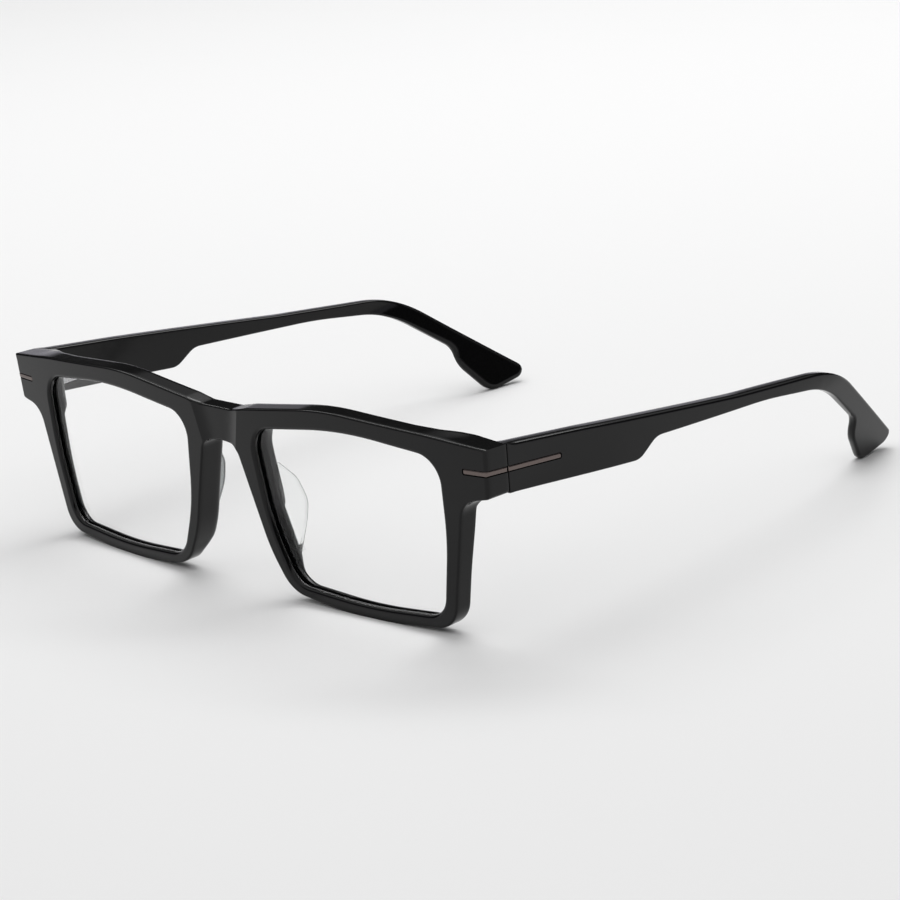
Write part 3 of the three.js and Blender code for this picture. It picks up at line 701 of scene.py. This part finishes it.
def front_leaf():
    def place(x, z, depth, back):
        inward = LEAF_THICKNESS - depth if back else depth
        return np.stack([x, END_PIECE_BACK + FRONT_LEAF_STANDING - inward, z], axis=1)

    low, high = HINGE_MIDDLE - FRONT_LEAF_HALF, HINGE_MIDDLE + FRONT_LEAF_HALF
    inner, outer = FRONT_LEAF_INNER, FRONT_LEAF_OUTER
    corners = [(inner, low), (outer, low), (outer, high), (inner, high)]
    pieces = [leaf([(x, z, FRONT_LEAF_ROUND) for x, z in corners], [], place)]
    roots = [(PIN_X - KNUCKLE_RADIUS, FRONT_ROOT_Y), (PIN_X + KNUCKLE_RADIUS, FRONT_ROOT_Y)]
    pieces += [knuckle("knuckle", STACK_BOTTOM + k * PITCH, roots) for k in (0, 2, 4)]
    return joined("hinge_front_leaf_left_metal", pieces)


def temple_leaf():
    def place(y, z, depth, back):
        outward = LEAF_THICKNESS - depth if back else depth
        return np.stack([temple_face(y, z) - TEMPLE_LEAF_INSET + outward, y, z], axis=1)

    hole_rows = edge_rows(LEAF_EDGE, RIVET_BACK_EDGE, wall_steps=2, hold=KNUCKLE_HOLD)
    hole = ring(RIVET_RADIUS, HOLE_STEPS) - (PIN_X, PIN_Y)
    holes = [(hole + middle, True, hole_rows) for middle in RIVET_HOLES]
    pieces = [leaf(TEMPLE_LEAF_OUTLINE, holes, place)]
    pieces += [knuckle("knuckle", STACK_BOTTOM + k * PITCH, TEMPLE_ROOTS) for k in (1, 3)]
    return joined("hinge_temple_leaf_left_metal", pieces)


def hinge_screw():
    """A turned screw: shaft, domed head and a slot across it."""
    top = STACK_TOP + KNUCKLE_GAP
    profile = [(radius, STACK_BOTTOM + level) for radius, level in SCREW_POINT]
    profile += [(radius, top + level) for radius, level in SCREW_HEAD]
    steps = ROUND_STEPS
    points, faces = [], []
    for radius, level in profile:
        for k in range(steps):
            angle = 2 * math.pi * k / steps
            points.append((PIN_X + radius * math.cos(angle), PIN_Y + radius * math.sin(angle), level))
    for r in range(len(profile) - 1):
        for k in range(steps):
            a, b = r * steps + k, r * steps + (k + 1) % steps
            faces.append((a, b, b + steps, a + steps))
    screw = mesh_object("hinge_screw_left_metal", np.array(points), faces, SCREW_SHARP_ANGLE)

    def place_slot(x, y, depth, back):
        return np.stack([x, y, top + (SLOT_CEILING - depth if back else SLOT_FLOOR + depth)], axis=1)

    along = np.array((math.cos(SLOT_TURN), math.sin(SLOT_TURN))) * SLOT_HALF_LENGTH
    aside = np.array((-math.sin(SLOT_TURN), math.cos(SLOT_TURN))) * SLOT_HALF_WIDTH
    corners = [(PIN_X, PIN_Y) + along * a + aside * b for a, b in ((-1, -1), (1, -1), (1, 1), (-1, 1))]
    outline = rounded([(x, y, 0) for x, y in corners])
    rows = edge_rows(SLOT_EDGE, SLOT_EDGE, wall_steps=1, hold=SLOT_EDGE)
    carve(screw, plate("slot", [(outline, False, rows)], place_slot, spacing=0.6))
    return screw


# ---- Materials ------------------------------------------------------------------------------------------
def material(name, color, metallic=0.0, ior=1.5, transmission=0.0):
    """A new material, its node tree and its shader."""
    made = bpy.data.materials.new(name)
    made.use_nodes = True
    shader = made.node_tree.nodes["Principled BSDF"]
    shader.inputs["Base Color"].default_value = (*color, 1)
    shader.inputs["Metallic"].default_value = metallic
    shader.inputs["IOR"].default_value = ior
    shader.inputs["Transmission Weight"].default_value = transmission
    return made, made.node_tree, shader


def noise(tree, scale, detail, stretch=(1, 1, 1)):
    """Noise in the object's own coordinates, which are the row's, in metres."""
    place = tree.nodes.new("ShaderNodeTexCoord")
    mapping = tree.nodes.new("ShaderNodeMapping")
    mapping.inputs["Scale"].default_value = stretch
    made = tree.nodes.new("ShaderNodeTexNoise")
    made.inputs["Scale"].default_value = scale
    made.inputs["Detail"].default_value = detail
    tree.links.new(place.outputs["Object"], mapping.inputs["Vector"])
    tree.links.new(mapping.outputs["Vector"], made.inputs["Vector"])
    return made.outputs["Fac"]


def spread(tree, value, low, high, from_low=0.3, from_high=0.7):
    """The part of a value between two levels, spread out from low to high."""
    made = tree.nodes.new("ShaderNodeMapRange")
    made.inputs["From Min"].default_value = from_low
    made.inputs["From Max"].default_value = from_high
    made.inputs["To Min"].default_value = low
    made.inputs["To Max"].default_value = high
    tree.links.new(value, made.inputs["Value"])
    return made.outputs["Result"]


def bump(tree, shader, height, distance, strength):
    made = tree.nodes.new("ShaderNodeBump")
    made.inputs["Strength"].default_value = strength
    made.inputs["Distance"].default_value = distance
    tree.links.new(height, made.inputs["Height"])
    tree.links.new(made.outputs["Normal"], shader.inputs["Normal"])


def acetate_material():
    """Polished black acetate: deep and glossy, with the faint waves and haze that polishing leaves."""
    made, tree, shader = material("polished_black_acetate", (0.003, 0.003, 0.0032), ior=1.33)
    haze = spread(tree, noise(tree, scale=900, detail=4), low=0.07, high=0.13)
    tree.links.new(haze, shader.inputs["Roughness"])
    bump(tree, shader, noise(tree, scale=55, detail=2), distance=0.03 * MM, strength=0.35)
    return made


def color_mix(tree):
    """A colour mix with its factor, its two colours and its result."""
    made = tree.nodes.new("ShaderNodeMix")
    made.data_type = "RGBA"
    return made.inputs[0], made.inputs[6], made.inputs[7], made.outputs[2]


def clear_material(name, color, edge, grazing, ior):
    """Clear plastic with painted shade where it is seen edge on: the base colour darkens towards the edge
    colour at grazing angles, standing in for the dark rim that refraction gives in the rounded edge.
    """
    made, tree, shader = material(name, color, ior=ior, transmission=1.0)
    haze = spread(tree, noise(tree, scale=700, detail=2), low=0.0, high=0.015)
    tree.links.new(haze, shader.inputs["Roughness"])
    # Painted shade: the base colour turns to the edge colour where the surface is seen edge on.
    factor, face_color, painted_edge_shade, result = color_mix(tree)
    face_color.default_value = shader.inputs["Base Color"].default_value
    painted_edge_shade.default_value = (*edge, 1)
    facing = tree.nodes.new("ShaderNodeLayerWeight").outputs["Facing"]
    tree.links.new(spread(tree, facing, 0, 1, *grazing), factor)
    tree.links.new(result, shader.inputs["Base Color"])
    return made


def trim_material():
    """Satin gunmetal plating, brushed along the bar."""
    made, tree, shader = material("satin_gunmetal", (0.15, 0.122, 0.114), metallic=1.0)
    streaks = noise(tree, scale=2600, detail=3, stretch=(0.12, 0.12, 1))
    tree.links.new(spread(tree, streaks, low=0.16, high=0.3), shader.inputs["Roughness"])
    lines = noise(tree, scale=5200, detail=3, stretch=(0.06, 0.06, 1))
    bump(tree, shader, lines, distance=0.003 * MM, strength=0.4)
    return made


def hinge_material():
    """Satin nickel-plated steel with a fine tumbled grain."""
    made, tree, shader = material("satin_steel", (0.52, 0.52, 0.53), metallic=1.0)
    grain = spread(tree, noise(tree, scale=1800, detail=4), low=0.24, high=0.34)
    tree.links.new(grain, shader.inputs["Roughness"])
    bump(tree, shader, noise(tree, scale=4200, detail=4), distance=0.004 * MM, strength=0.15)
    return made


# ---- Building -------------------------------------------------------------------------------------------
acetate, trim_metal, hinge_metal = acetate_material(), trim_material(), hinge_material()
# The edge colours are painted shade, darkening each clear piece where it is seen edge on.
lens_clear = clear_material("clear_lens", (1, 1, 1), edge=(0.8, 0.82, 0.82), grazing=(0.75, 0.98), ior=1.25)
pad_clear = clear_material(
    "clear_pad", (0.98, 0.99, 0.985), edge=(0.06, 0.07, 0.07), grazing=(0.35, 0.55), ior=1.5,
)


def settle(piece, node, body, slot, look):
    """Gives a piece its material and the body it rides on, and hides the CAD node it replaces. The slot is
    not used.
    """
    piece.data.materials.clear()
    piece.data.materials.append(look)
    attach(piece, body)
    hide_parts(node)


front = front_frame()
left_groove = front_groove()
carve(front, left_groove, mirrored(left_groove, "groove"))
settle(front, "front_frame", "front", "acetate", acetate)

left_temple = temple()
carve(left_temple, temple_groove())
pairs = [
    (left_temple, "temple", "temple", "acetate", acetate),
    (temple_trim(), "temple_trim", "temple", "trim", trim_metal),
    (temple_leaf(), "hinge_temple_leaf", "temple", "hinge", hinge_metal),
    (front_leaf(), "hinge_front_leaf", "front", "hinge", hinge_metal),
    (hinge_screw(), "hinge_screw", "front", "hinge", hinge_metal),
    (front_trim(), "front_trim", "front", "trim", trim_metal),
    (lens(), "lens", "front", "lens", lens_clear),
    (nose_pad(), "nose_pad", "front", "nose_pad", pad_clear),
]
for piece, node, body, slot, look in pairs:
    other = mirrored(piece, piece.name.replace("left", "right"))
    for side, made in (("left", piece), ("right", other)):
        rides = f"{side}_temple" if body == "temple" else body
        settle(made, f"{node}_{side}", rides, slot, look)
        # Clear pieces throw no shadow.
        if slot in ("lens", "nose_pad"):
            made.visible_shadow = False
            made.visible_diffuse = False
for side in ("left", "right"):
    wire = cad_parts[f"core_wire_{side}"]
    wire.data.materials.clear()
    wire.data.materials.append(hinge_metal)


# ---- Floor, light and camera ----------------------------------------------------------------------------
FLOOR_COLOR, FLOOR_ROUGHNESS, FLOOR_HALF_SIDE = (0.84, 0.84, 0.84), 0.75, 6
BACKDROP_COLOR = (0.9, 0.9, 0.9, 1)

# What the gloss sees, as (height, colour): pale walls, a dark band above them and a bright ceiling.
SURROUNDINGS = [(0.09, (0.5, 0.49, 0.54)), (0.14, (0.03,) * 3), (0.42, (0.03,) * 3), (0.62, (0.85,) * 3)]

# In metres and degrees.
CAMERA_PLACE, CAMERA_TURN = (0.48402, -0.43813, 0.20557), (73.260, 5.768, 46.600)
CAMERA_LENS, CAMERA_CLIP = 127.35, (0.05, 30)


def floor():
    mesh = bpy.data.meshes.new("floor")
    work = bmesh.new()
    bmesh.ops.create_grid(work, x_segments=2, y_segments=2, size=FLOOR_HALF_SIDE)
    work.to_mesh(mesh)
    work.free()
    made = bpy.data.objects.new("floor", mesh)
    bpy.context.scene.collection.objects.link(made)
    look, _, shader = material("pale_floor", FLOOR_COLOR)
    shader.inputs["Roughness"].default_value = FLOOR_ROUGHNESS
    mesh.materials.append(look)


def soft_light(name, place, aim, size, power):
    """A rectangular light, out of the camera's sight."""
    lamp = bpy.data.lights.new(name, "AREA")
    lamp.shape, lamp.size, lamp.size_y = "RECTANGLE", *size
    lamp.energy = power
    made = bpy.data.objects.new(name, lamp)
    made.location = place
    made.rotation_euler = (Vector(aim) - Vector(place)).to_track_quat("-Z", "Y").to_euler()
    made.visible_camera = False
    bpy.context.scene.collection.objects.link(made)


def studio():
    """A plain pale backdrop for the camera and through the lenses, and surroundings for the gloss."""
    world = bpy.data.worlds.new("studio")
    bpy.context.scene.world = world
    world.use_nodes = True
    tree = world.node_tree
    place = tree.nodes.new("ShaderNodeTexCoord")
    split = tree.nodes.new("ShaderNodeSeparateXYZ")
    ramp = tree.nodes.new("ShaderNodeValToRGB")
    tree.links.new(place.outputs["Generated"], split.inputs["Vector"])
    tree.links.new(split.outputs["Z"], ramp.inputs["Fac"])
    while len(ramp.color_ramp.elements) < len(SURROUNDINGS):
        ramp.color_ramp.elements.new(1)
    for element, (height, color) in zip(ramp.color_ramp.elements, SURROUNDINGS):
        element.position, element.color = height, (*color, 1)
    rays = tree.nodes.new("ShaderNodeLightPath")
    seen = tree.nodes.new("ShaderNodeMath")
    seen.operation = "MAXIMUM"
    tree.links.new(rays.outputs["Is Camera Ray"], seen.inputs[0])
    tree.links.new(rays.outputs["Is Transmission Ray"], seen.inputs[1])
    factor, surroundings, backdrop, result = color_mix(tree)
    backdrop.default_value = BACKDROP_COLOR
    tree.links.new(seen.outputs["Value"], factor)
    tree.links.new(ramp.outputs["Color"], surroundings)
    tree.links.new(result, tree.nodes["Background"].inputs["Color"])


floor()
studio()
soft_light("key", place=(-0.35, 0.6, 1.2), aim=(0, 0, 0), size=(0.9, 0.9), power=6.0)
soft_light("edge", place=(-0.35, 0.5, 0.8), aim=(0, 0, 0), size=(1.6, 0.08), power=2.6)
soft_light("front", place=(0.0, -1.25, 0.35), aim=(0, 0, 0.04), size=(1.2, 0.6), power=1.5)
bpy.context.scene.view_settings.view_transform = "Standard"

lens_of_camera = bpy.data.cameras.new("camera")
lens_of_camera.lens = CAMERA_LENS
lens_of_camera.clip_start, lens_of_camera.clip_end = CAMERA_CLIP
camera = bpy.data.objects.new("camera", lens_of_camera)
camera.location = CAMERA_PLACE
camera.rotation_euler = Euler([math.radians(a) for a in CAMERA_TURN])
bpy.context.scene.collection.objects.link(camera)
bpy.context.scene.camera = camera
